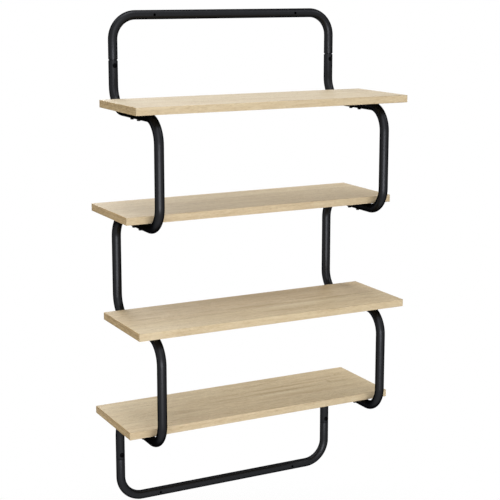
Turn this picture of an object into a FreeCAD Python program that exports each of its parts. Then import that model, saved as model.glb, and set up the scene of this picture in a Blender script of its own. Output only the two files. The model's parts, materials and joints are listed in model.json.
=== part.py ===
# Wall shelving unit: four edged boards screwed to two winding steel tubes, which a loop of the
# same tube joins at the top and at the bottom.
# Millimetres. The origin is in the wall plane, midway between the four wall holes.
# +X points right, +Y into the wall and +Z up.
import FreeCAD, Part
import math
import os

import Sketcher
from FreeCAD import Placement, Rotation, Vector

doc = FreeCAD.newDocument("wall_shelving")

# ---- driving dimensions -------------------------------------------------------------------

sizes = {
    # boards and their edge strips
    "shelf_length": 600, "shelf_depth": 188, "shelf_thickness": 15,
    "shelf_pitch": 215.3,            # from one board's top face to the next
    "first_shelf_drop": 163,         # from the top bar's axis down to the first board's face
    "shelf_setback": 0.5,            # a board's edge stays this far inside the tubes' faces
    "edging_thickness": 1, "arris_radius": 0.5,
    # tube frame
    "tube_diameter": 19, "tube_wall": 1.2, "bend_radius": 48.5,
    "side_spacing": 502,             # between the axes of the two side tubes
    "run_depth": 227,                # between the axes of the back and the front uprights
    "bar_spacing": 1020,             # between the axes of the top and the bottom bar
    "wall_hole_spacing": 326, "wall_hole_diameter": 5.5,
    # slip joints between the loops and the side tubes
    "rim_from_bar": 90,              # from a bar's axis to the rim of a side tube
    "rim_round": 0.4,
    "top_seam_gap": 2.6, "bottom_seam_gap": 0.7,
    "shoulder_ramp": 0.6, "neck_clearance": 0.1, "neck_length": 28, "neck_lead": 1,
    "joint_from_rim": 9.5, "joint_hole_diameter": 5.4,
    # screws that hold the slip joints
    "joint_head_diameter": 9.5, "joint_head_height": 2.2, "joint_head_round": 1.2,
    "joint_shank_diameter": 4.9, "joint_screw_length": 12, "joint_point": 1,
    "joint_recess_width": 1.2, "joint_recess_length": 5.2, "joint_recess_depth": 1.5,
    # rivet nuts in the necks
    "nut_diameter": 7, "nut_hole_diameter": 7.1, "nut_bore_diameter": 5,
    "nut_length": 8, "nut_recess": 0.75,
    "nut_collar_diameter": 8.6, "nut_collar_start": 2.1, "nut_collar_length": 1.5,
    # screws that hold the boards
    "shelf_screw_spacing": 33, "shelf_hole_diameter": 4.5,
    "shelf_head_diameter": 7.6, "shelf_head_height": 2.4, "shelf_head_round": 1.4,
    "shelf_shank_diameter": 3.9, "shelf_screw_length": 30,
    "shelf_point": 4, "shelf_tip_diameter": 0.8,
    "shelf_recess_width": 1, "shelf_recess_length": 4, "shelf_recess_depth": 1.5,
    "pilot_diameter": 4, "pilot_depth": 11.5,
}

dims = doc.addObject("Spreadsheet::Sheet", "dims")
for row, (alias, size) in enumerate(sizes.items(), start=1):
    dims.set(f"A{row}", alias)
    dims.set(f"B{row}", str(size))
    dims.setAlias(f"B{row}", alias)
doc.recompute()

# ---- places and radii worked out from them ------------------------------------------------

shelves = (1, 2, 3, 4)
same_place = 0.01                    # millimetres by which two equal lengths may differ
same_volume = 0.001                  # share by which two equal volumes may differ
derived = {
    "tube_r": "dims.tube_diameter / 2",
    "tube_bore_r": "tube_r - dims.tube_wall",
    "neck_r": "tube_bore_r - dims.neck_clearance",
    "neck_bore_r": "neck_r - dims.tube_wall",
    "neck_tip_r": "neck_r - dims.tube_wall / 2",
    "side_x": "dims.side_spacing / 2",
    "back_y": "-tube_r",
    "front_y": "-tube_r - dims.run_depth",
    "middle_y": "-tube_r - dims.run_depth / 2",
    "bar_z": "dims.bar_spacing / 2",
    "rim_z": "bar_z - dims.rim_from_bar",
    "joint_z": "rim_z - dims.joint_from_rim",
    # boards, measured to the middle of the top face
    "front_shelf_y": "front_y - tube_r + dims.shelf_setback + dims.shelf_depth / 2",
    "back_shelf_y": "-dims.shelf_setback - dims.shelf_depth / 2",
    "core_half_length": "dims.shelf_length / 2 - dims.edging_thickness",
    "core_half_depth": "dims.shelf_depth / 2 - dims.edging_thickness",
    "edging_half_length": "dims.shelf_length / 2",
    "edging_half_depth": "dims.shelf_depth / 2",
    "core_depth": "2 * core_half_depth",
    "pilot_front_shelf_y": "middle_y - front_shelf_y",
    "pilot_back_shelf_y": "middle_y - back_shelf_y",
    # holes
    "wall_hole_r": "dims.wall_hole_diameter / 2",
    "joint_hole_r": "dims.joint_hole_diameter / 2",
    "nut_hole_r": "dims.nut_hole_diameter / 2",
    "shelf_hole_r": "dims.shelf_hole_diameter / 2",
    "pilot_r": "dims.pilot_diameter / 2",
    # a loop in its own frame, with the bar's axis at zero and the legs pointing down
    "joint_drop": "-dims.rim_from_bar - dims.joint_from_rim",
    "neck_end": "-dims.rim_from_bar - dims.neck_length",
    "neck_lead_start": "neck_end + dims.neck_lead",
    "wall_hole_x": "dims.wall_hole_spacing / 2",
    # screws and nuts, measured along their own axes
    "half_screw_spacing": "dims.shelf_screw_spacing / 2",
    "joint_head_r": "dims.joint_head_diameter / 2",
    "joint_shank_r": "dims.joint_shank_diameter / 2",
    "joint_tip_r": "joint_shank_r - dims.joint_point / 2",
    "joint_point_start": "dims.joint_screw_length - dims.joint_point",
    "joint_recess_half_width": "dims.joint_recess_width / 2",
    "joint_recess_half_length": "dims.joint_recess_length / 2",
    "shelf_head_r": "dims.shelf_head_diameter / 2",
    "shelf_shank_r": "dims.shelf_shank_diameter / 2",
    "shelf_tip_r": "dims.shelf_tip_diameter / 2",
    "shelf_point_start": "dims.shelf_screw_length - dims.shelf_point",
    "shelf_recess_half_width": "dims.shelf_recess_width / 2",
    "shelf_recess_half_length": "dims.shelf_recess_length / 2",
    "nut_face_y": "-tube_r - neck_r + dims.nut_recess",
    "nut_r": "dims.nut_diameter / 2",
    "nut_bore_r": "dims.nut_bore_diameter / 2",
    "nut_collar_r": "dims.nut_collar_diameter / 2",
    "nut_collar_end": "dims.nut_collar_start + dims.nut_collar_length",
}
for place in ("top", "bottom"):
    derived[f"{place}_shoulder"] = f"-dims.rim_from_bar + dims.{place}_seam_gap"
    derived[f"{place}_ramp_end"] = f"{place}_shoulder - dims.shoulder_ramp"
for shelf in shelves:
    drop = f"(dims.first_shelf_drop + {shelf - 1} * dims.shelf_pitch)"
    derived[f"shelf_{shelf}_z"] = f"bar_z - {drop}"
    derived[f"run_{shelf}_z"] = f"shelf_{shelf}_z - dims.shelf_thickness - tube_r"
    derived[f"head_{shelf}_z"] = f"run_{shelf}_z - tube_r"

layout = doc.addObject("App::VarSet", "layout")
for name, formula in derived.items():
    layout.addProperty("App::PropertyFloat", name, "Layout")
    layout.setExpression(name, formula)
doc.recompute()


def number(name):
    """the value that a name stands for; a leading minus turns it round and None is zero"""
    if name is None:
        return 0.0
    if name.startswith("-"):
        return -number(name[1:])
    return float(getattr(dims if name in sizes else layout, name))


def term(name):
    """the same name as an expression"""
    if name.startswith("-"):
        return "-" + term(name[1:])
    return ("dims." if name in sizes else "layout.") + name


# ---- sketches -----------------------------------------------------------------------------

def addBody(label, **place):
    """a sub-part, placed by named values: x, y and z"""
    body = doc.addObject("PartDesign::Body", label)
    body.AllowCompound = True
    for axis, name in place.items():
        body.setExpression(f"Placement.Base.{axis}", term(name))
    return body


def originPlane(body, role):
    return next(item for item in body.Origin.OriginFeatures if item.Role == role)


def addSketch(body, name, role, **offset):
    """a sketch on one of the body's own planes, shifted by named values in its own axes"""
    sketch = body.newObject("Sketcher::SketchObject", name)
    sketch.AttachmentSupport = [(originPlane(body, role), "")]
    sketch.MapMode = "FlatFace"
    for axis, value in offset.items():
        sketch.setExpression(f"AttachmentOffset.Base.{axis}", term(value))
    return sketch


def pin(sketch, geometry, point, axis, name):
    """holds a point at a named distance from the sketch's origin along X or Y"""
    if name is None:
        axisLine = {"X": -2, "Y": -1}[axis]
        sketch.addConstraint(Sketcher.Constraint("PointOnObject", geometry, point, axisLine))
        return
    size = number(name)
    ends = (-1, 1, geometry, point) if size > 0 else (geometry, point, -1, 1)
    index = sketch.addConstraint(Sketcher.Constraint("Distance" + axis, *ends, abs(size)))
    sketch.setExpression(f"Constraints[{index}]", term(name) if size > 0 else f"-({term(name)})")


def bindRadius(sketch, geometry, name):
    index = sketch.addConstraint(Sketcher.Constraint("Radius", geometry, number(name)))
    sketch.setExpression(f"Constraints[{index}]", term(name))


def circle(sketch, radius, across, up):
    centre = Vector(number(across), number(up), 0)
    index = sketch.addGeometry(Part.Circle(centre, Vector(0, 0, 1), number(radius)), False)
    bindRadius(sketch, index, radius)
    pin(sketch, index, 3, "X", across)
    pin(sketch, index, 3, "Y", up)


def roundCorner(corner, before, after, radius):
    """the arc that rounds a right-angled corner, and which of its ends comes first"""
    toCentre = (after - before) * radius
    centre = corner + toCentre
    first = centre - after * radius
    last = centre + before * radius
    angles = [math.atan2(end.y - centre.y, end.x - centre.x) for end in (first, last)]
    leftTurn = before.x * after.y - before.y * after.x > 0
    if not leftTurn:
        angles.reverse()
    arc = Part.ArcOfCircle(Part.Circle(centre, Vector(0, 0, 1), radius), *angles)
    return arc, (1, 2) if leftTurn else (2, 1)


def trace(sketch, corners, closed=True):
    """draws sides from corner to corner and fixes them; a corner is (across, up) or
    (across, up, radius), where the radius rounds a right angle"""
    count = len(corners)
    points = [Vector(number(corner[0]), number(corner[1]), 0) for corner in corners]
    radii = [corner[2] if len(corner) > 2 else None for corner in corners]
    sides = count if closed else count - 1
    heading = [(points[(i + 1) % count] - points[i]).normalize() for i in range(sides)]
    known = {(i, axis): False for i in range(count) for axis in "XY"}

    for i in range(sides):
        j = (i + 1) % count
        start = points[i] + heading[i] * number(radii[i])
        end = points[j] - heading[i] * number(radii[j])
        sketch.addGeometry(Part.LineSegment(start, end), False)
        for axis, part, direction in (("X", 0, "Vertical"), ("Y", 1, "Horizontal")):
            if corners[i][part] == corners[j][part]:
                sketch.addConstraint(Sketcher.Constraint(direction, i))
                pin(sketch, i, 1, axis, corners[i][part])
                known[i, axis] = known[j, axis] = True

    for j in range(count):
        before = j - 1 if j > 0 else (sides - 1 if closed else None)
        after = j if j < sides else None
        if radii[j]:
            arc, (arcStart, arcEnd) = roundCorner(points[j], heading[before], heading[after],
                                                  number(radii[j]))
            index = sketch.addGeometry(arc, False)
            sketch.addConstraint(Sketcher.Constraint("Tangent", before, 2, index, arcStart))
            sketch.addConstraint(Sketcher.Constraint("Tangent", index, arcEnd, after, 1))
            bindRadius(sketch, index, radii[j])
            continue
        if before is not None and after is not None:
            sketch.addConstraint(Sketcher.Constraint("Coincident", before, 2, after, 1))
        side, point = (after, 1) if after is not None else (before, 2)
        for axis, part in (("X", 0), ("Y", 1)):
            if not known[j, axis]:
                pin(sketch, side, point, axis, corners[j][part])


# ---- features -----------------------------------------------------------------------------

def pad(body, sketch, length, symmetric=False, backwards=False):
    feature = body.newObject("PartDesign::Pad", sketch.Name + "_pad")
    feature.Profile = sketch
    feature.setExpression("Length", term(length))
    feature.SideType = "Symmetric" if symmetric else "One side"
    feature.Reversed = backwards
    doc.recompute()
    return feature


def pocket(body, sketch, depth=None, symmetric=False, backwards=False):
    """cuts a sketch out, right through where no depth is named, and makes sure that it cuts"""
    before = body.Shape.Volume
    feature = body.newObject("PartDesign::Pocket", sketch.Name + "_cut")
    feature.Profile = sketch
    feature.SideType = "Symmetric" if symmetric else "One side"
    feature.Reversed = backwards
    if depth:
        feature.setExpression("Length", term(depth))
    else:
        feature.Type = "ThroughAll"
    doc.recompute()
    if body.Shape.Volume >= before:
        raise RuntimeError(f"{feature.Name} cuts nothing")
    return feature


def revolve(body, sketch):
    """turns a sketch round its own vertical axis"""
    feature = body.newObject("PartDesign::Revolution", sketch.Name + "_turned")
    feature.Profile = sketch
    feature.ReferenceAxis = (sketch, ["V_Axis"])
    feature.Angle = 360
    doc.recompute()
    return feature


def repeat(body, features, roles):
    """mirrors features in one or more of the body's planes, all of them together"""
    mirrors = []
    for role in roles:
        mirrored = body.newObject("PartDesign::Mirrored", f"{body.Name}_{role[:2].lower()}_mirror")
        mirrored.MirrorPlane = (originPlane(body, role), [""])
        mirrors.append(mirrored)
    if len(mirrors) == 1:
        tip = mirrors[0]
    else:
        tip = body.newObject("PartDesign::MultiTransform", body.Name + "_mirrors")
        tip.Transformations = mirrors
    tip.Originals = features
    body.Tip = tip
    doc.recompute()


def bendTube(body, route, profile):
    """sweeps the tube's section along a route and compares the volume with section x length"""
    feature = body.newObject("PartDesign::AdditivePipe", body.Name + "_tube")
    feature.Profile = profile
    feature.Spine = (route, [""])
    doc.recompute()
    section = math.pi * (number("tube_r") ** 2 - number("tube_bore_r") ** 2)
    expected = section * route.Shape.Length
    if abs(feature.Shape.Volume - expected) > same_volume * expected:
        raise RuntimeError(f"{feature.Name} has the wrong volume")
    return feature


def tubeSection(sketch, across, up):
    circle(sketch, "tube_r", across, up)
    circle(sketch, "tube_bore_r", across, up)


# ---- tubes --------------------------------------------------------------------------------

def sideTube(label, x):
    """one winding side tube: down the wall, then forward and back under the four boards"""
    body = addBody(label, x=x)
    route = addSketch(body, label + "_route", "YZ_Plane")
    bends = []
    for shelf in shelves:
        here, there = ("back_y", "front_y") if shelf % 2 else ("front_y", "back_y")
        bends += [(here, f"run_{shelf}_z", "bend_radius"), (there, f"run_{shelf}_z", "bend_radius")]
    trace(route, [("back_y", "rim_z")] + bends + [("back_y", "-rim_z")], closed=False)
    section = addSketch(body, label + "_section", "XY_Plane", z="rim_z")
    tubeSection(section, None, "back_y")
    tube = bendTube(body, route, section)

    rims = [f"Edge{i}" for i, edge in enumerate(tube.Shape.Edges, start=1) if isRim(edge)]
    rounding = body.newObject("PartDesign::Fillet", label + "_rims")
    rounding.Base = (tube, rims)
    rounding.setExpression("Radius", term("rim_round"))
    doc.recompute()

    # vertical holes for the shelf screws, through both walls of all four runs
    shelfHoles = addSketch(body, label + "_shelf_holes", "XY_Plane", y="middle_y")
    for up in ("half_screw_spacing", "-half_screw_spacing"):
        circle(shelfHoles, "shelf_hole_r", None, up)
    pocket(body, shelfHoles, symmetric=True)

    # the joint screws pass the front wall only
    jointHoles = addSketch(body, label + "_joint_holes", "XZ_Plane", z="tube_r")
    for up in ("joint_z", "-joint_z"):
        circle(jointHoles, "joint_hole_r", None, up)
    pocket(body, jointHoles, depth="tube_diameter", backwards=True)


def isRim(edge):
    """true for the outer edge of a side tube's open end"""
    ring = edge.Curve
    if not isinstance(ring, Part.Circle) or abs(ring.Radius - number("tube_r")) > same_place:
        return False
    return abs(abs(ring.Center.z) - number("rim_z")) < same_place


def loop(label, place):
    """a U of tube whose legs end in narrowed necks; the bottom one is turned upside down"""
    body = addBody(label, y="back_y", z="bar_z" if place == "top" else "-bar_z")
    if place == "bottom":
        body.Placement = Placement(body.Placement.Base, Rotation(Vector(0, 1, 0), 180))
    shoulder = f"{place}_shoulder"
    route = addSketch(body, label + "_route", "XZ_Plane")
    trace(route, [("-side_x", shoulder), ("-side_x", None, "bend_radius"),
                  ("side_x", None, "bend_radius"), ("side_x", shoulder)], closed=False)
    section = addSketch(body, label + "_section", "XY_Plane", z=shoulder)
    tubeSection(section, "-side_x", None)
    bendTube(body, route, section)

    neck = addSketch(body, label + "_neck", "XZ_Plane", x="side_x")
    rampEnd = f"{place}_ramp_end"
    trace(neck, [("tube_bore_r", shoulder), ("tube_r", shoulder), ("neck_r", rampEnd),
                 ("neck_r", "neck_lead_start"), ("neck_tip_r", "neck_end"),
                 ("neck_bore_r", "neck_end"), ("neck_bore_r", rampEnd)])
    repeat(body, [revolve(body, neck)], ["YZ_Plane"])

    wallHoles = addSketch(body, label + "_wall_holes", "XZ_Plane")
    for across in ("wall_hole_x", "-wall_hole_x"):
        circle(wallHoles, "wall_hole_r", across, None)
    pocket(body, wallHoles, symmetric=True)

    nutHoles = addSketch(body, label + "_nut_holes", "XZ_Plane")
    for across in ("side_x", "-side_x"):
        circle(nutHoles, "nut_hole_r", across, "joint_drop")
    pocket(body, nutHoles, depth="tube_diameter", backwards=True)


# ---- boards -------------------------------------------------------------------------------

def board(shelf, y):
    """a board's core, with its top face at the body's origin"""
    label = f"shelf_{shelf}_board"
    body = addBody(label, y=y, z=f"shelf_{shelf}_z")
    outline = addSketch(body, label + "_outline", "XY_Plane")
    trace(outline, [("-core_half_length", "-core_half_depth"),
                    ("core_half_length", "-core_half_depth"),
                    ("core_half_length", "core_half_depth"),
                    ("-core_half_length", "core_half_depth")])
    pad(body, outline, "shelf_thickness", backwards=True)

    pilots = addSketch(body, label + "_pilots", "XY_Plane", y="pilot_" + y, z="-shelf_thickness")
    for across in ("side_x", "-side_x"):
        for up in ("half_screw_spacing", "-half_screw_spacing"):
            circle(pilots, "pilot_r", across, up)
    pocket(body, pilots, depth="pilot_depth", backwards=True)


def edging(shelf, y, side):
    """a glued strip on one edge of a board, with its two outer corners rounded"""
    label = f"shelf_{shelf}_{side}_edging"
    body = addBody(label, y=y, z=f"shelf_{shelf}_z")
    alongX = side in ("front", "back")
    sign = "-" if side in ("front", "left") else ""
    inner = sign + ("core_half_depth" if alongX else "core_half_length")
    outer = sign + ("edging_half_depth" if alongX else "edging_half_length")
    section = addSketch(body, label + "_section", "YZ_Plane" if alongX else "XZ_Plane")
    trace(section, [(inner, None), (outer, None, "arris_radius"),
                    (outer, "-shelf_thickness", "arris_radius"), (inner, "-shelf_thickness")])
    pad(body, section, "shelf_length" if alongX else "core_depth", symmetric=True)


# ---- fasteners ----------------------------------------------------------------------------

def screws(body, kind, profilePlane, recessPlane, profileAt, recessAt, backwards, mirrors):
    """screws with a rounded head below zero, a shank above it and a crossed recess, repeated
    on the other side of each of the named planes"""
    profile = addSketch(body, body.Name + "_profile", profilePlane, **profileAt)
    trace(profile, [(None, f"-{kind}_head_height"),
                    (f"{kind}_head_r", f"-{kind}_head_height", f"{kind}_head_round"),
                    (f"{kind}_head_r", None), (f"{kind}_shank_r", None),
                    (f"{kind}_shank_r", f"{kind}_point_start"),
                    (f"{kind}_tip_r", f"{kind}_screw_length"), (None, f"{kind}_screw_length")])
    features = [revolve(body, profile)]
    arm, half = f"{kind}_recess_half_length", f"{kind}_recess_half_width"
    for cut, (across, up) in enumerate(((arm, half), (half, arm)), start=1):
        slot = addSketch(body, f"{body.Name}_slot_{cut}", recessPlane, **recessAt)
        trace(slot, [("-" + across, "-" + up), (across, "-" + up), (across, up),
                     ("-" + across, up)])
        features.append(pocket(body, slot, depth=f"{kind}_recess_depth", backwards=backwards))
    repeat(body, features, mirrors)


def shelfScrews(shelf):
    """the four screws that pass up through two runs into one board"""
    body = addBody(f"shelf_{shelf}_screws", y="middle_y", z=f"head_{shelf}_z")
    screws(body, "shelf", "XZ_Plane", "XY_Plane",
           {"x": "side_x", "z": "-half_screw_spacing"},
           {"x": "side_x", "y": "half_screw_spacing", "z": "-shelf_head_height"},
           True, ["YZ_Plane", "XZ_Plane"])


def jointScrews(place):
    """the two screws that hold one loop in the side tubes, with their heads to the front"""
    z = "joint_z" if place == "top" else "-joint_z"
    body = addBody(f"{place}_joint_screws", y="-tube_diameter", z=z)
    screws(body, "joint", "XY_Plane", "XZ_Plane", {"x": "side_x"},
           {"x": "side_x", "z": "joint_head_height"}, False, ["YZ_Plane"])


def rivetNuts(place):
    """the two nuts crimped in the necks of one loop"""
    z = "joint_z" if place == "top" else "-joint_z"
    body = addBody(f"{place}_rivet_nuts", y="nut_face_y", z=z)
    profile = addSketch(body, body.Name + "_profile", "XY_Plane", x="side_x")
    trace(profile, [("nut_bore_r", None), ("nut_r", None), ("nut_r", "nut_collar_start"),
                    ("nut_collar_r", "nut_collar_start"), ("nut_collar_r", "nut_collar_end"),
                    ("nut_r", "nut_collar_end"), ("nut_r", "nut_length"),
                    ("nut_bore_r", "nut_length")])
    repeat(body, [revolve(body, profile)], ["YZ_Plane"])


# ---- the unit -----------------------------------------------------------------------------

loop("top_loop", "top")
loop("bottom_loop", "bottom")
sideTube("left_side_tube", "-side_x")
sideTube("right_side_tube", "side_x")
for shelf in shelves:
    y = "front_shelf_y" if shelf % 2 else "back_shelf_y"
    board(shelf, y)
    for side in ("front", "back", "left", "right"):
        edging(shelf, y, side)
    shelfScrews(shelf)
for place in ("top", "bottom"):
    jointScrews(place)
    rivetNuts(place)
doc.recompute()

for item in doc.Objects:
    if "Invalid" in item.State or "Error" in item.State:
        raise RuntimeError(f"{item.Label} failed: {item.State}")
parts = [item for item in doc.Objects if item.TypeId == "PartDesign::Body"]
for part in parts:
    if part.Shape.isNull() or not part.Shape.isValid():
        raise RuntimeError(f"{part.Label} has no sound shape")

os.makedirs("parts", exist_ok=True)
for part in parts:
    part.Shape.exportStep(f"parts/{part.Label}.step")
    print(part.Label, len(part.Shape.Solids), "solids,", round(part.Shape.Volume), "mm3")
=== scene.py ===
import json
import math

import bmesh
import bpy
from mathutils import Matrix, Vector


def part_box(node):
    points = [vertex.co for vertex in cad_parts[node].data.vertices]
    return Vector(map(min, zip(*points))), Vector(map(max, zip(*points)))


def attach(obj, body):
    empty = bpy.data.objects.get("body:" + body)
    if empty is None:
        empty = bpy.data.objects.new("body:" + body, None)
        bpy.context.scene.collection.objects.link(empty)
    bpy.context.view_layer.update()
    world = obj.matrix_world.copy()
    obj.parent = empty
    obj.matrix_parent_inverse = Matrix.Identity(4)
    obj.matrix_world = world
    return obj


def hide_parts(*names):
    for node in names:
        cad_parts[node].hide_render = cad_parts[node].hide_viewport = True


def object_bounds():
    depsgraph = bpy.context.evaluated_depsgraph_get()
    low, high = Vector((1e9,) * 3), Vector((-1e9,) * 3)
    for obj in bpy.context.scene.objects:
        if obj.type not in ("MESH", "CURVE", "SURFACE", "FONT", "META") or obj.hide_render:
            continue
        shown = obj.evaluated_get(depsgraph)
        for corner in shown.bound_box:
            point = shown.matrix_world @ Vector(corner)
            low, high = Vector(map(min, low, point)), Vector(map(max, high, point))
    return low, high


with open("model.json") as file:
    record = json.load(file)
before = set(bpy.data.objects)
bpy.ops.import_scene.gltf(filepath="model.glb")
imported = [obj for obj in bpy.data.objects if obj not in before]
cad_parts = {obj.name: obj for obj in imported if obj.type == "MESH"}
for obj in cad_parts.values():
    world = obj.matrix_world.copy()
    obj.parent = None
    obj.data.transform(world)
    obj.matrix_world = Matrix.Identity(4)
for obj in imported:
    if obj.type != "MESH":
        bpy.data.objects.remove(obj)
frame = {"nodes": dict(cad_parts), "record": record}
cadLow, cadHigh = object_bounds()
mm = 0.001
shelves = range(1, 5)            # the boards, from the top one down
print("frame loaded with", len(frame["nodes"]), "nodes")


# a shader socket that takes part in sums
class Wire:
    def __init__(self, finish, socket):
        self.finish = finish
        self.socket = socket

    def maths(self, operation, first, second):
        return self.finish.add("ShaderNodeMath", {"operation": operation}, {0: first, 1: second})

    def __add__(self, other):
        return self.maths("ADD", self, other)

    def __sub__(self, other):
        return self.maths("SUBTRACT", self, other)

    def __rsub__(self, other):
        return self.maths("SUBTRACT", other, self)

    def __mul__(self, other):
        return self.maths("MULTIPLY", self, other)

    def __mod__(self, other):
        return self.maths("MODULO", self, other)

    def __rmod__(self, other):
        return self.maths("MODULO", other, self)

    __radd__ = __add__
    __rmul__ = __mul__


# the node tree of a material or of the world
class Finish:
    def __init__(self, holder):
        self.holder = holder
        holder.use_nodes = True
        self.tree = holder.node_tree
        self.tree.nodes.clear()

    def add(self, kind, settings=None, sockets=None, output=0):
        node = self.tree.nodes.new(kind)
        for key, value in (settings or {}).items():
            if key == "stops":
                self.setStops(node.color_ramp, value)
            else:
                setattr(node, key, value)
        for key, value in (sockets or {}).items():
            if isinstance(value, Wire):
                self.tree.links.new(value.socket, node.inputs[key])
            else:
                node.inputs[key].default_value = value
        return Wire(self, node.outputs[output]) if node.outputs else None

    def setStops(self, ramp, stops):
        while len(ramp.elements) < len(stops):
            ramp.elements.new(1)
        for element, (place, grey) in zip(ramp.elements, stops):
            element.position = place
            element.color = (grey, grey, grey, 1)

    def mix(self, share, first, second):
        sockets = {0: share, 6: first, 7: second}
        return self.add("ShaderNodeMix", {"data_type": "RGBA"}, sockets, output=2)

    def noise(self, point, size, detail=2, roughness=0.5):
        sockets = {"Vector": point, "Scale": 1 / size, "Detail": detail, "Roughness": roughness}
        return self.add("ShaderNodeTexNoise", sockets=sockets)

    def ramp(self, value, *stops):
        return self.add("ShaderNodeValToRGB", {"stops": stops}, {"Fac": value})

    def bump(self, height, depth):
        return self.add("ShaderNodeBump", sockets={"Height": height, "Distance": depth})

    def objectPoint(self, stretch=(1, 1, 1), place=(0, 0, 0)):
        point = self.add("ShaderNodeTexCoord", output=3)
        sockets = {"Vector": point, "Scale": stretch, "Location": place}
        return self.add("ShaderNodeMapping", sockets=sockets)

    def surface(self, sockets):
        shader = self.add("ShaderNodeBsdfPrincipled", sockets=sockets)
        self.add("ShaderNodeOutputMaterial", sockets={"Surface": shader})
        return self.holder


def newFinish(name):
    return Finish(bpy.data.materials.new(name))


def colour(rgb):
    return (*rgb, 1)


powderCoat = {
    "colour": (0.021, 0.0215, 0.0235),
    "edgeTint": (0, 0, 0),       # how much it mirrors at a glancing angle
    "roughness": 0.34,
    "roughnessSpread": 0.06,
    "cloudSize": 30 * mm,
    "peelSize": 1.2 * mm,        # the orange peel of the sprayed powder
    "peelDepth": 0.002 * mm,
}


def makePowderCoat():
    finish = newFinish("powderCoat")
    point = finish.objectPoint()
    peel = finish.noise(point, powderCoat["peelSize"])
    cloud = finish.noise(point, powderCoat["cloudSize"])
    roughness = powderCoat["roughness"] + (cloud - 0.5) * powderCoat["roughnessSpread"]
    return finish.surface({
        "Base Color": colour(powderCoat["colour"]),
        "Metallic": 1,
        "Specular Tint": colour(powderCoat["edgeTint"]),
        "Roughness": roughness,
        "Normal": finish.bump(peel, powderCoat["peelDepth"]),
    })


oak = {
    "colour": (0.745, 0.615, 0.405),
    "dark": (0.525, 0.39, 0.225),
    "pale": (0.835, 0.73, 0.54),
    "rosy": (0.765, 0.585, 0.38),
    "stretch": 0.055,            # the figure is this much narrower than it is long
    "wanderSize": 90 * mm,       # how the lines of the grain sway
    "wander": 9 * mm,
    "figureSize": 75 * mm,       # the nested arches of a plain-sawn face
    "figureRings": 9,
    "figureShare": 0.38,
    "streakSize": 7 * mm,
    "streakShare": 0.6,
    "cloudSize": 38 * mm,
    "cloudShare": 0.6,
    "rosySize": 55 * mm,
    "rosyShare": 0.55,
    "fleckSize": 4.5 * mm,       # short dashes, half of them dark and half pale
    "fleckStretch": 0.24,
    "fleckShare": 0.4,
    "fibreSize": 0.9 * mm,
    "fibreShare": 0.34,
    "pore": (0.33, 0.225, 0.115),
    "poreSize": 0.42 * mm,       # the open pores of the early wood, as fine dark dashes
    "poreShare": 0.75,
    "poreDepth": 0.02 * mm,
    "gloss": 0.21,
    "roughness": 0.5,
    "poreRoughness": 0.12,       # how much rougher the pores are
    "fibreRoughness": 0.08,      # and how far the fibres vary it
}
# single lines of grain on the faces, and on board 3 a broad dark band of painted shade under board 2
# and a broad pale patch of painted light on its left front: the board, the middle's place in X and Y,
# half the length and half the width, all in millimetres, and the share of the other tone
darkLines = [
    (4, 100, -92, 115, 7, 1), (4, 245, -86, 35, 6, 0.7), (4, -30, -93, 70, 6, 0.5),
    (4, 105, -68, 110, 6, 0.7), (4, 150, -124, 130, 12, 0.5), (4, 220, -80, 6, 13, 1),
    (4, -148, -122, 26, 16, 0.5), (3, 0, -153, 80, 12, 0.65), (3, 132, -139, 65, 6, 0.7),
    (3, 190, -158, 45, 6, 0.8), (3, 238, -194, 25, 7, 0.7), (3, 30, -207, 75, 7, 0.5),
    # the last entry below, a broad dark band along the back of board 3, is painted shade under board 2
    (3, -105, -147, 50, 8, 0.5), (3, -240, -146, 35, 7, 0.5), (3, 90, -70, 330, 50, 0.85),
]
paleLines = [
    # the last entry below, a broad pale patch on board 3's left front, is painted light
    (4, 90, -106, 110, 6, 0.8), (3, 80, -178, 120, 12, 0.8), (3, -250, -228, 190, 38, 0.5),
]
lineWander = 6 * mm
lineDepth = 20 * mm              # how far into the board a line would reach
lineCore = 0.25                  # the share of a line's size over which it is at its strongest
# what each kind of oak is multiplied by: the faces differ from board to board, partly in tone and
# partly as painted light, board 1 paler and bluer as a painted sheen and board 2 darker as painted
# shade under board 1;
# the strips on the ends are browner and darker as painted shade of the sides turned from the light
faceTonesAndPaintedLight = {
    1: (0.865, 0.895, 0.955), 2: (0.885, 0.88, 0.865),
    3: (0.923, 0.91, 0.865), 4: (0.95, 0.95, 0.905),
}
edgeTone = (0.955, 0.945, 0.935)
# browner and darker end strips: painted shade of the sides turned from the light
endPaintedShade = (0.87, 0.78, 0.585)
# and how strong its grain is
faceGrain, edgeGrain, endGrain = 0.85, 0.6, 1.5


# how strongly any of the single lines and patches, grain or painted light and shade, shows at a point
def grainAndPaintedLightLines(finish, point, lines):
    total = 0
    for shelf, along, across, length, width, share in lines:
        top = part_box(f"shelf_{shelf}_board")[1].z
        size = Vector((length * mm, width * mm, lineDepth))
        middle = Vector((along * mm, across * mm, top))
        stretch = Vector([1 / part for part in size])
        near = finish.add("ShaderNodeMapping", sockets={
            "Vector": point, "Scale": stretch, "Location": -middle * stretch})
        far = finish.add("ShaderNodeVectorMath", {"operation": "LENGTH"}, {0: near}, output=1)
        total = finish.ramp(far, (lineCore, share), (1, 0)) + total
    return total


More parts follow.
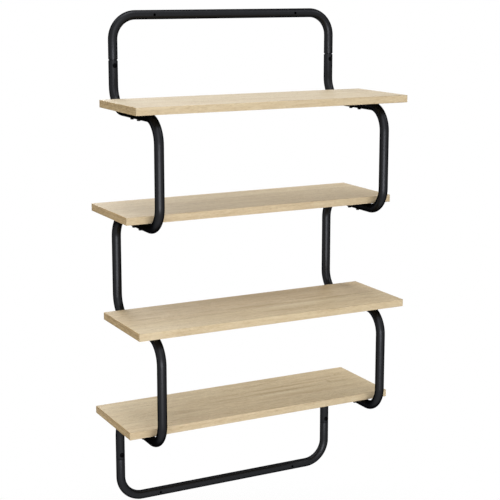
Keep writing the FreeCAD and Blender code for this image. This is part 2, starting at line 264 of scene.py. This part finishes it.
# the grain runs along X, or along Y on the end strips
def makeOak(name, grainAlongX, tone, strength, lines=False):
    finish = newFinish(name)

    def grainPoint(narrow):
        return finish.objectPoint((narrow, 1, 1) if grainAlongX else (1, narrow, 1))

    def swayed(point, reach):
        return finish.add("ShaderNodeVectorMath", {"operation": "MULTIPLY_ADD"},
                          {0: sway, 1: reach, 2: point})

    def toned(key):
        return colour([part * share for part, share in zip(oak[key], tone)])

    plain, dark, pale, rosy, pore = map(toned, ("colour", "dark", "pale", "rosy", "pore"))
    shares = {key: share * strength for key, share in oak.items() if key.endswith("Share")}
    point = grainPoint(oak["stretch"])
    sway = finish.add("ShaderNodeTexNoise", sockets={
        "Vector": point, "Scale": 1 / oak["wanderSize"]}, output=1)
    point = swayed(point, (0, oak["wander"], oak["wander"]))
    flecks = finish.noise(grainPoint(oak["fleckStretch"]), oak["fleckSize"], 4, 0.7)
    darkFlecks = finish.ramp(flecks, (0.5, 0), (0.64, 1))
    paleFlecks = finish.ramp(flecks, (0.36, 1), (0.5, 0))
    level = finish.noise(point, oak["figureSize"], 1) * oak["figureRings"]
    rings = finish.ramp(level % 1, (0, 0.35), (0.15, 0), (0.75, 0.5), (0.94, 1), (1, 0.35))
    streaks = finish.ramp(finish.noise(point, oak["streakSize"], 3, 0.6), (0.42, 0), (0.7, 1))
    clouds = finish.ramp(finish.noise(point, oak["cloudSize"]), (0.35, 0), (0.7, 1))
    blush = finish.ramp(finish.noise(point, oak["rosySize"]), (0.45, 0), (0.7, 1))
    fibres = finish.ramp(finish.noise(point, oak["fibreSize"], 2, 0.7), (0.38, 0), (0.66, 1))
    pores = finish.ramp(finish.noise(point, oak["poreSize"], 0), (0.6, 0), (0.66, 1))
    pores = pores * (rings * 0.6 + 0.4)      # they are clearest along the rings
    shade = finish.mix(clouds * shares["cloudShare"], plain, pale)
    shade = finish.mix(blush * shares["rosyShare"], shade, rosy)
    shade = finish.mix(rings * shares["figureShare"], shade, dark)
    shade = finish.mix(streaks * shares["streakShare"], shade, dark)
    shade = finish.mix(paleFlecks * shares["fleckShare"], shade, pale)
    shade = finish.mix(darkFlecks * shares["fleckShare"], shade, dark)
    if lines:
        wavy = swayed(finish.objectPoint(place=(0, -lineWander / 2, 0)), (0, lineWander, 0))
        broken = 0.6 + flecks * 0.8          # the flecks break the lines up
        # pale lines of grain, and the painted light patch on board 3
        shade = finish.mix(grainAndPaintedLightLines(finish, wavy, paleLines) * broken, shade, pale)
        # dark lines of grain, and the painted shade band on board 3
        shade = finish.mix(grainAndPaintedLightLines(finish, wavy, darkLines) * broken, shade, dark)
    shade = finish.mix(fibres * shares["fibreShare"], shade, dark)
    shade = finish.mix(pores * shares["poreShare"], shade, pore)
    varied = pores * oak["poreRoughness"] + (fibres - 0.5) * oak["fibreRoughness"]
    return finish.surface({
        "Base Color": shade,
        "Specular IOR Level": oak["gloss"],
        "Roughness": oak["roughness"] + varied,
        "Normal": finish.bump(1 - pores, oak["poreDepth"]),
    })


blackSteel = {
    "colour": (0.004, 0.004, 0.0045),
    "edgeTint": (0, 0, 0),
    "roughness": 0.32,
    "wearRoughness": 0.1,        # added in full where the finish is worn
    "wearSize": 2 * mm,
}
zincSteel = {
    "colour": (0.6, 0.6, 0.58),
    "roughness": 0.35,
    "spangleRoughness": 0.2,     # the cloudy look of the zinc
    "spangleSize": 1.5 * mm,
}


def makeBlackSteel():
    finish = newFinish("blackSteel")
    wear = finish.noise(finish.objectPoint(), blackSteel["wearSize"])
    return finish.surface({
        "Base Color": colour(blackSteel["colour"]),
        "Metallic": 1,
        "Specular Tint": colour(blackSteel["edgeTint"]),
        "Roughness": blackSteel["roughness"] + wear * blackSteel["wearRoughness"],
    })


def makeZincSteel():
    finish = newFinish("zincSteel")
    spangle = finish.noise(finish.objectPoint(), zincSteel["spangleSize"])
    return finish.surface({
        "Base Color": colour(zincSteel["colour"]),
        "Metallic": 1,
        "Roughness": zincSteel["roughness"] + spangle * zincSteel["spangleRoughness"],
    })


finishes = {
    "tube_black": makePowderCoat(),
    "oak_edging": makeOak("oakEdge", True, edgeTone, edgeGrain),
    # the end strips, darkened by painted shade
    "end_edging": makeOak("oakEnd", False, endPaintedShade, endGrain),
    "screw_black": makeBlackSteel(),
    "nut_steel": makeZincSteel(),
}
# each board's faces, with their tone and their painted sheen and shade
for shelf, tone in faceTonesAndPaintedLight.items():
    finishes[f"oak_board_{shelf}"] = makeOak(f"oakFace{shelf}", True, tone, faceGrain, True)
print("finishes made:", len(finishes))


smoothAngle = math.radians(35)
samePlace = 0.01 * mm            # places closer than this are one place
drillAround = 40                 # faces round a drilled hole


# puts a finished bmesh in the scene as an object at the origin
def toObject(name, form):
    mesh = bpy.data.meshes.new(name)
    form.to_mesh(mesh)
    form.free()
    made = bpy.data.objects.new(name, mesh)
    bpy.context.scene.collection.objects.link(made)
    return made


def smoothFaces(faces):
    for face in faces:
        face.smooth = True


# puts a modelled piece in the scene, where it stands for its CAD node
def makePiece(name, form, slot, node, finish=None):
    piece = toObject(name, form)
    piece.data.materials.append(finishes[finish or slot])
    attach(piece, "root")
    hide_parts(node)
    return piece


# the turn and place that lay a shape made along +Z on another line
def along(centre, direction):
    turn = Vector((0, 0, 1)).rotation_difference(Vector(direction))
    return Matrix.Translation(centre) @ turn.to_matrix().to_4x4()


# takes one shape out of a piece and keeps the mesh that is left
def cutOut(piece, form):
    cutter = toObject("cutter", form)
    cut = piece.modifiers.new("cut", "BOOLEAN")
    cut.operation = "DIFFERENCE"
    cut.solver = "EXACT"
    cut.object = cutter
    graph = bpy.context.evaluated_depsgraph_get()
    piece.data = bpy.data.meshes.new_from_object(piece.evaluated_get(graph))
    piece.modifiers.clear()
    bpy.data.objects.remove(cutter)


def keepCreases(piece):
    piece.data.set_sharp_from_angle(angle=smoothAngle)


# drills holes, each given by its centre, direction, radius and length
def drill(piece, holes):
    form = bmesh.new()
    # half a face's turn keeps the drill's own edges off those of the tube
    turn = Matrix.Rotation(math.pi / drillAround, 4, "Z")
    for centre, direction, radius, length in holes:
        bmesh.ops.create_cone(form, cap_ends=True, segments=drillAround, radius1=radius,
                              radius2=radius, depth=length, matrix=along(centre, direction) @ turn)
    smoothFaces(form.faces)
    cutOut(piece, form)
    keepCreases(piece)


tube = {
    "wall": 1.2 * mm,
    "bendRadius": 48.5 * mm,
    "rimRound": 0.4 * mm,
    "around": 56,                # faces round the tube
    "bendSteps": 16,             # and along each bend
}
neck = {
    "topGap": 2.6 * mm,          # from a side tube's rim to the loop's shoulder
    "bottomGap": 0.7 * mm,
    "ramp": 0.6 * mm,            # how far the shoulder's slope runs along the leg
    "clearance": 0.1 * mm,
    "lead": 1 * mm,              # the bevel of the tip
}

# the tube's radius and the lines that its middle follows, from the CAD's own box
sideLow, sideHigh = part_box("right_side_tube")
tubeRadius = (sideHigh.x - sideLow.x) / 2
sideX = (sideHigh.x + sideLow.x) / 2
backY = sideHigh.y - tubeRadius
frontY = sideLow.y + tubeRadius
rimZ = sideHigh.z
boreRadius = tubeRadius - tube["wall"]
neckRadius = boreRadius - neck["clearance"]


# the height of the tubes' middle line under a board
def runHeight(shelf):
    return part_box(f"shelf_{shelf}_board")[0].z - tubeRadius


# how far out the two rows of screws under a board are
def screwRows(shelf):
    low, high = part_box(f"shelf_{shelf}_screws")
    return low.y + shelfScrew["headRadius"], high.y - shelfScrew["headRadius"]


# the height of the joint screws at the top or bottom
def jointHeight(place):
    low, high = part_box(f"{place}_joint_screws")
    return (low.z + high.z) / 2


# the edges that join the given corners into a ring
def ringOf(geometry):
    verts = [item for item in geometry if isinstance(item, bmesh.types.BMVert)]
    inRing = set(verts)
    return [edge for vert in verts for edge in vert.link_edges
            if vert == edge.verts[0] and edge.verts[1] in inRing]


# the first ring of a tube, round a line along Z
def startRing(form, centre):
    made = bmesh.ops.create_circle(form, cap_ends=False, segments=tube["around"],
                                   radius=tubeRadius, matrix=Matrix.Translation(centre))
    return ringOf(made["verts"])


# draws a ring out by one step and resizes it about its centre
def stepRing(form, ring, step, centre=(0, 0, 0), scale=1):
    made = bmesh.ops.extrude_edge_only(form, edges=ring)["geom"]
    verts = [item for item in made if isinstance(item, bmesh.types.BMVert)]
    aboutCentre = Matrix.Translation(-Vector(centre))
    bmesh.ops.scale(form, vec=(scale, scale, scale), space=aboutCentre, verts=verts)
    bmesh.ops.translate(form, vec=step, verts=verts)
    return ringOf(verts)


# draws a ring along a route of straight runs with a bend at every corner
def sweepRing(form, ring, route):
    here = route[0]
    for last, corner, following in zip(route, route[1:], route[2:]):
        before = (corner - last).normalized()
        after = (following - corner).normalized()
        centre = corner + (after - before) * tube["bendRadius"]
        ring = stepRing(form, ring, corner - before * tube["bendRadius"] - here)
        verts = list(dict.fromkeys(vert for edge in ring for vert in edge.verts))
        turned = bmesh.ops.spin(form, geom=verts + ring, cent=centre, axis=before.cross(after),
                                angle=math.radians(90), steps=tube["bendSteps"])
        ring = ringOf(turned["geom_last"])
        here = corner + after * tube["bendRadius"]
    return stepRing(form, ring, route[-1] - here)


# makes one skin of the swept rings and rounds the rims
def closeTube(form, rounding, isRim):
    bmesh.ops.remove_doubles(form, verts=form.verts, dist=samePlace)
    bmesh.ops.recalc_face_normals(form, faces=form.faces)
    rims = [edge for edge in form.edges if all(isRim(vert.co) for vert in edge.verts)]
    bmesh.ops.bevel(form, geom=rims, offset=rounding, segments=4, profile=0.5,
                    affect="EDGES", material=-1)
    smoothFaces(form.faces)


# the line on which a side tube runs forward and back under the boards
def sideRoute(x):
    points = [Vector((x, backY, rimZ))]
    for shelf in shelves:
        ends = (backY, frontY) if shelf % 2 else (frontY, backY)
        points += [Vector((x, y, runHeight(shelf))) for y in ends]
    return points + [Vector((x, backY, -rimZ))]


# one side tube: down along its outside and back up through the bore
def makeSideTube(name, node, x):
    route = sideRoute(x)
    form = bmesh.new()
    ring = startRing(form, route[0])
    ring = sweepRing(form, ring, route)
    ring = stepRing(form, ring, (0, 0, 0), route[-1], boreRadius / tubeRadius)
    ring = sweepRing(form, ring, route[::-1])
    stepRing(form, ring, (0, 0, 0), route[0], tubeRadius / boreRadius)

    def onRim(point):
        outside = (point.xy - route[0].xy).length > tubeRadius - tube["wall"] / 2
        return outside and abs(abs(point.z) - rimZ) < samePlace

    closeTube(form, tube["rimRound"], onRim)
    piece = makePiece(name, form, "tube_black", node)
    # the shelf screws pass both walls of the tube, and the joint screws only the front one
    through = shelfScrew["holeRadius"], 3 * tubeRadius
    half = jointScrew["holeRadius"], tubeRadius
    drill(piece, [((x, y, runHeight(shelf)), (0, 0, 1), *through)
                  for shelf in shelves for y in screwRows(shelf)]
          + [((x, backY - tubeRadius, jointHeight(end)), (0, 1, 0), *half)
             for end in ("top", "bottom")])


# one loop: out along the tube, round each neck's tip and back through the bore
def makeLoop(name, node, place):
    up = 1 if place == "top" else -1
    low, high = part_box(node)
    barZ = (high.z - tubeRadius) if up > 0 else (low.z + tubeRadius)
    tipZ = low.z if up > 0 else high.z
    shoulderZ = up * (rimZ + neck[place + "Gap"])
    left, right = Vector((-sideX, backY, 0)), Vector((sideX, backY, 0))
    height = Vector((0, 0, 1))
    route = [left + height * shoulderZ, left + height * barZ,
             right + height * barZ, right + height * shoulderZ]
    # the radius and height of each ring round a neck's wall, from outside to inside
    stations = [
        (tubeRadius, shoulderZ),
        (neckRadius, shoulderZ - up * neck["ramp"]),
        (neckRadius, tipZ + up * neck["lead"]),
        (neckRadius - tube["wall"] / 2, tipZ),
        (neckRadius - tube["wall"], tipZ),
        (neckRadius - tube["wall"], shoulderZ - up * neck["ramp"]),
        (boreRadius, shoulderZ),
    ]

    def turnBack(ring, leg, stations):
        for (radius, z), (nextRadius, nextZ) in zip(stations, stations[1:]):
            ring = stepRing(form, ring, (0, 0, nextZ - z), leg + height * z, nextRadius / radius)
        return ring

    form = bmesh.new()
    ring = startRing(form, route[0])
    ring = sweepRing(form, ring, route)
    ring = turnBack(ring, right, stations)
    ring = sweepRing(form, ring, route[::-1])
    turnBack(ring, left, stations[::-1])

    def onShoulder(point):
        leg = left if point.x < 0 else right
        outside = (point.xy - leg.xy).length > tubeRadius - tube["wall"] / 2
        return outside and abs(point.z - shoulderZ) < samePlace

    closeTube(form, tube["rimRound"] / 2, onShoulder)
    piece = makePiece(name, form, "tube_black", node)
    wall = next(mount for mount in frame["record"]["mounts"] if mount["name"] == "wall_screws")
    holeX = wall["dims"]["spacing_x_mm"] * mm / 2
    # the wall screws pass both walls of the bar, and the nuts sit in a neck's front wall
    through = wall["dims"]["hole_r_mm"] * mm, 3 * tubeRadius
    half = jointScrew["nutHoleRadius"], tubeRadius
    drill(piece, [((x, backY, barZ), (0, 1, 0), *through) for x in (-holeX, holeX)]
          + [((x, backY - tubeRadius, jointHeight(place)), (0, 1, 0), *half)
             for x in (-sideX, sideX)])


shelfScrew = {
    "headRadius": 3.8 * mm, "headHeight": 2.4 * mm, "headRound": 1.4 * mm,
    "shankRadius": 1.95 * mm, "tipRadius": 0.4 * mm, "point": 4 * mm,
    "recessLength": 4 * mm, "recessWidth": 1 * mm, "recessDepth": 1.5 * mm,
    "holeRadius": 2.25 * mm, "pilotRadius": 2 * mm, "pilotDepth": 11.5 * mm,
}
jointScrew = {
    "headRadius": 4.75 * mm, "headHeight": 2.2 * mm, "headRound": 1.2 * mm,
    "shankRadius": 2.45 * mm, "tipRadius": 1.95 * mm, "point": 1 * mm,
    "recessLength": 5.2 * mm, "recessWidth": 1.2 * mm, "recessDepth": 1.5 * mm,
    "holeRadius": 2.7 * mm, "nutHoleRadius": 3.55 * mm,
}
screwAround = 36                 # not a multiple of 8, or a face's edge meets a corner of the cross


# one screw with its head's seat at zero and its shank along +Z
def screwMesh(screw, length):
    outline = [(0, -screw["headHeight"]), (screw["headRadius"], -screw["headHeight"]),
               (screw["headRadius"], 0), (screw["shankRadius"], 0),
               (screw["shankRadius"], length - screw["point"]), (screw["tipRadius"], length),
               (0, length)]
    form = bmesh.new()
    verts = [form.verts.new((x, 0, z)) for x, z in outline]
    edges = [form.edges.new(pair) for pair in zip(verts, verts[1:])]
    bmesh.ops.spin(form, geom=verts + edges, cent=(0, 0, 0), axis=(0, 0, 1),
                   angle=math.radians(360), steps=screwAround, use_merge=True)
    bmesh.ops.remove_doubles(form, verts=form.verts, dist=samePlace)
    bmesh.ops.recalc_face_normals(form, faces=form.faces)
    corner = Vector((screw["headRadius"], -screw["headHeight"]))
    rim = [edge for edge in form.edges
           if all((Vector((vert.co.xy.length, vert.co.z)) - corner).length < samePlace
                  for vert in edge.verts)]
    bmesh.ops.bevel(form, geom=rim, offset=screw["headRound"], segments=6, profile=0.5,
                    affect="EDGES", material=-1)
    smoothFaces(form.faces)
    pattern = toObject("screw", form)
    top = Matrix.Translation((0, 0, -screw["headHeight"]))
    size = Matrix.Diagonal((screw["recessLength"], screw["recessWidth"], 2 * screw["recessDepth"], 1))
    for angle in (0, 90):
        slot = bmesh.new()
        turn = Matrix.Rotation(math.radians(angle), 4, "Z")
        bmesh.ops.create_cube(slot, size=1, matrix=top @ turn @ size)
        cutOut(pattern, slot)
    mesh = pattern.data
    bpy.data.objects.remove(pattern)
    return mesh


# sets a screw at each place, with its shank along the given direction
def makeScrews(name, node, mesh, places, direction):
    form = bmesh.new()
    for place in places:
        before = len(form.verts)
        form.from_mesh(mesh)
        form.verts.ensure_lookup_table()
        bmesh.ops.transform(form, matrix=along(place, direction), verts=form.verts[before:])
    keepCreases(makePiece(name, form, "screw_black", node))


board = {
    "outerRound": 0.5 * mm,      # the rounded corners of the edge strips
    "seamRound": 0.12 * mm,      # both sides of the hairline where a strip meets the face
}
# the edge strips of a board: the way each faces and its oak
strips = {
    "front": ((0, -1, 0), "oak_edging"), "back": ((0, 1, 0), "oak_edging"),
    "left": ((-1, 0, 0), "end_edging"), "right": ((1, 0, 0), "end_edging"),
}


# the level edges of a block on the side that lies in one direction, or on all sides
def levelEdges(form, middle, direction=None):
    return [edge for edge in form.edges
            if abs(edge.verts[0].co.z - edge.verts[1].co.z) < samePlace
            and (not direction or all((vert.co - middle).dot(direction) > 0 for vert in edge.verts))]


# a board's core, or one strip with its outer corners rounded
def makeBlock(name, node, slot, finish, outwards=None):
    low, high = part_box(node)
    middle = (low + high) / 2
    form = bmesh.new()
    bmesh.ops.create_cube(form, size=1, matrix=Matrix.Translation(middle)
                          @ Matrix.Diagonal((*(high - low), 1)))
    if outwards:
        corners = levelEdges(form, middle, Vector(outwards))
        made = bmesh.ops.bevel(form, geom=corners, offset=board["outerRound"], segments=4,
                               profile=0.5, affect="EDGES", material=-1)
        smoothFaces(made["faces"])
    seams = levelEdges(form, middle, -Vector(outwards) if outwards else None)
    bmesh.ops.bevel(form, geom=seams, offset=board["seamRound"], segments=1, profile=0.5,
                    affect="EDGES", material=-1)
    return makePiece(name, form, slot, node, finish)


# a board with its pilot holes, its strips and its screws
def makeShelf(shelf):
    core = makeBlock(f"board{shelf}", f"shelf_{shelf}_board", "oak_board", f"oak_board_{shelf}")
    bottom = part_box(f"shelf_{shelf}_board")[0].z
    spots = [(x, y) for x in (-sideX, sideX) for y in screwRows(shelf)]
    # half of each pilot drill is below the board
    pilot = shelfScrew["pilotRadius"], 2 * shelfScrew["pilotDepth"]
    drill(core, [((*spot, bottom), (0, 0, 1), *pilot) for spot in spots])
    for side, (outwards, finish) in strips.items():
        makeBlock(f"board{shelf}{side.title()}Edging", f"shelf_{shelf}_{side}_edging",
                  "oak_edging", finish, outwards)
    low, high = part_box(f"shelf_{shelf}_screws")
    seat = low.z + shelfScrew["headHeight"]
    makeScrews(f"board{shelf}Screws", f"shelf_{shelf}_screws", screwMesh(shelfScrew, high.z - seat),
               [(*spot, seat) for spot in spots], (0, 0, 1))


# the joint screws at the top or bottom, and the finish of the rivet nuts that take them
def makeJoints(place):
    low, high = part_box(f"{place}_joint_screws")
    seat = low.y + jointScrew["headHeight"]
    makeScrews(f"{place}JointScrews", f"{place}_joint_screws", screwMesh(jointScrew, high.y - seat),
               [(x, seat, jointHeight(place)) for x in (-sideX, sideX)], (0, 1, 0))
    frame["nodes"][f"{place}_rivet_nuts"].material_slots[0].material = finishes["nut_steel"]


makeLoop("topLoop", "top_loop", "top")
makeLoop("bottomLoop", "bottom_loop", "bottom")
makeSideTube("leftSideTube", "left_side_tube", -sideX)
makeSideTube("rightSideTube", "right_side_tube", sideX)
print("tubes bent")
for shelf in shelves:
    makeShelf(shelf)
print("boards laid")
for place in ("top", "bottom"):
    makeJoints(place)
print("screws driven")


floor = {
    "drop": 1.9,                 # metres from the unit down to the floor
    "radius": 4.8,
    "solidRadius": 2.4,          # it fades out from here to its rim
    "colour": 0.9,
    "lift": 0.4,                 # what it gives off where it is seen
}
ambient = 0.2                    # the world's strength where it lights things
lamps = {
    # degrees to the left of the front and up from level, metres away, metres wide and high,
    # and the share of full white
    "frontLamp": {"turn": 21, "rise": -8, "distance": 3.2, "size": (3, 0.8), "share": 0.585},
    "highLamp": {"turn": 25, "rise": 30, "distance": 3.2, "size": (2.6, 2.6), "share": 0.215},
    "topLamp": {"turn": 0, "rise": 84, "distance": 6, "size": (4.5, 4.5), "share": 0.47},
    "backLamp": {"turn": 180, "rise": 25, "distance": 3.2, "size": (1.2, 1.2), "share": 0.47},
    "rightLamp": {"turn": -60, "rise": 40, "distance": 3.2, "size": (1, 1), "share": 0.105},
    "leftLamp": {"turn": 130, "rise": 55, "distance": 6, "size": (2.5, 2.5), "share": 0.16},
}
camera = {
    "place": (-1.19505, -2.42508, 0.57401),
    "turn": 27.335,              # degrees to the right
    "dip": 10.353,               # degrees down
    "lens": 92.047,              # millimetres, like the sensor
    "sensor": 36,
    "shift": (0.00433, -0.06795),
}


# one where a camera, mirror or glass ray arrives, and zero for the light that falls on things
def seenDirectly(finish):
    path = finish.tree.nodes.new("ShaderNodeLightPath")
    rays = [Wire(finish, path.outputs[name])
            for name in ("Is Camera Ray", "Is Glossy Ray", "Is Transmission Ray")]
    return finish.add("ShaderNodeClamp", sockets={"Value": rays[0] + rays[1] + rays[2]})


# white where it is seen or mirrored, and dim where it lights things
def makeWorld():
    world = bpy.data.worlds.new("studio")
    bpy.context.scene.world = world
    finish = Finish(world)
    white = finish.add("ShaderNodeBackground", sockets={"Color": (1, 1, 1, 1), "Strength": 1.0})
    dim = finish.add("ShaderNodeBackground", sockets={"Color": (1, 1, 1, 1), "Strength": ambient})
    both = finish.add("ShaderNodeMixShader", sockets={0: seenDirectly(finish), 1: dim, 2: white})
    finish.add("ShaderNodeOutputWorld", sockets={"Surface": both})


# a round floor that takes the shadow and fades out towards its rim
def makeFloor():
    finish = newFinish("floorPaint")
    grey = floor["colour"]
    paint = finish.add("ShaderNodeBsdfDiffuse", sockets={"Color": (grey, grey, grey, 1)})
    glow = finish.add("ShaderNodeEmission", sockets={"Strength": seenDirectly(finish) * floor["lift"]})
    lit = finish.add("ShaderNodeAddShader", sockets={0: paint, 1: glow})
    clear = finish.add("ShaderNodeBsdfTransparent")
    point = finish.add("ShaderNodeTexCoord", output=3)
    far = finish.add("ShaderNodeVectorMath", {"operation": "LENGTH"}, {0: point}, output=1)
    fade = finish.add("ShaderNodeMapRange", {"interpolation_type": "SMOOTHSTEP"},
                      {"Value": far, "From Min": floor["solidRadius"], "From Max": floor["radius"]})
    both = finish.add("ShaderNodeMixShader", sockets={0: fade, 1: lit, 2: clear})
    finish.add("ShaderNodeOutputMaterial", sockets={"Surface": both})
    form = bmesh.new()
    bmesh.ops.create_circle(form, cap_ends=True, segments=96, radius=floor["radius"])
    plane = toObject("floor", form)
    plane.data.materials.append(finish.holder)
    plane.location.z = cadLow.z - floor["drop"]


# a lamp that lights a white face turned to it, at the unit's middle, to its share of white
def makeLamp(name, lamp):
    light = bpy.data.lights.new(name, "AREA")
    light.shape = "ELLIPSE"
    light.size, light.size_y = lamp["size"]
    light.energy = lamp["share"] * math.pi ** 2 * lamp["distance"] ** 2
    turn, rise = math.radians(lamp["turn"]), math.radians(lamp["rise"])
    away = Vector((-math.sin(turn) * math.cos(rise), -math.cos(turn) * math.cos(rise), math.sin(rise)))
    holder = bpy.data.objects.new(name, light)
    holder.location = (cadLow + cadHigh) / 2 + away * lamp["distance"]
    holder.rotation_euler = away.to_track_quat("Z", "Y").to_euler()
    bpy.context.scene.collection.objects.link(holder)


def makeCamera():
    lens = bpy.data.cameras.new("camera")
    lens.lens = camera["lens"]
    lens.sensor_width = camera["sensor"]
    lens.shift_x, lens.shift_y = camera["shift"]
    lens.dof.use_dof = False
    holder = bpy.data.objects.new("camera", lens)
    holder.location = camera["place"]
    holder.rotation_euler = (math.radians(90 - camera["dip"]), 0, math.radians(-camera["turn"]))
    bpy.context.scene.collection.objects.link(holder)
    bpy.context.scene.camera = holder


makeWorld()
makeFloor()
for name, lamp in lamps.items():
    makeLamp(name, lamp)
makeCamera()
bpy.context.scene.view_settings.view_transform = "Standard"
print("studio lit")
